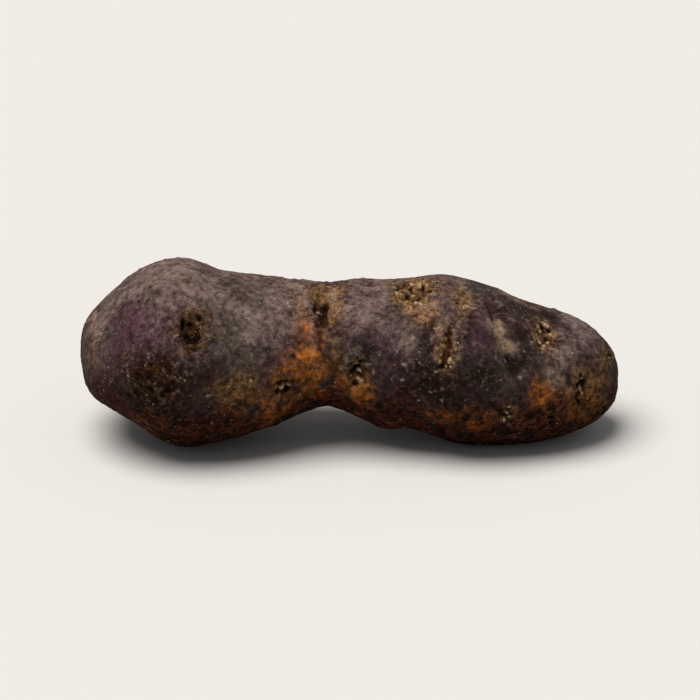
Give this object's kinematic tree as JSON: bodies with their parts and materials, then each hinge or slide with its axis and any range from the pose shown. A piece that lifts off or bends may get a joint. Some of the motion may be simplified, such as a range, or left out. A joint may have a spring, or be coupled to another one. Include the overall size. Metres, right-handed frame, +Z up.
{
  "type": "purple potato",
  "caption": "Knobbly finger-shaped purple potato tuber with a thick lobe at the stem end, a waist, a longer tapering lobe and sunken eyes, lying on flat spots under its lobes.",
  "frame": {"origin": "middle of the tuber's outline seen from above, on the surface that it lies on", "axes": "+X along the tuber towards its rose end, +Y away from the side that the picture shows, +Z up"},
  "size_m": [0.1026, 0.0392, 0.0352],
  "materials": {
    "skin": "matte"
  },
  "bodies": {
    "root": {"potato": "skin"}
  },
  "joints": []
}
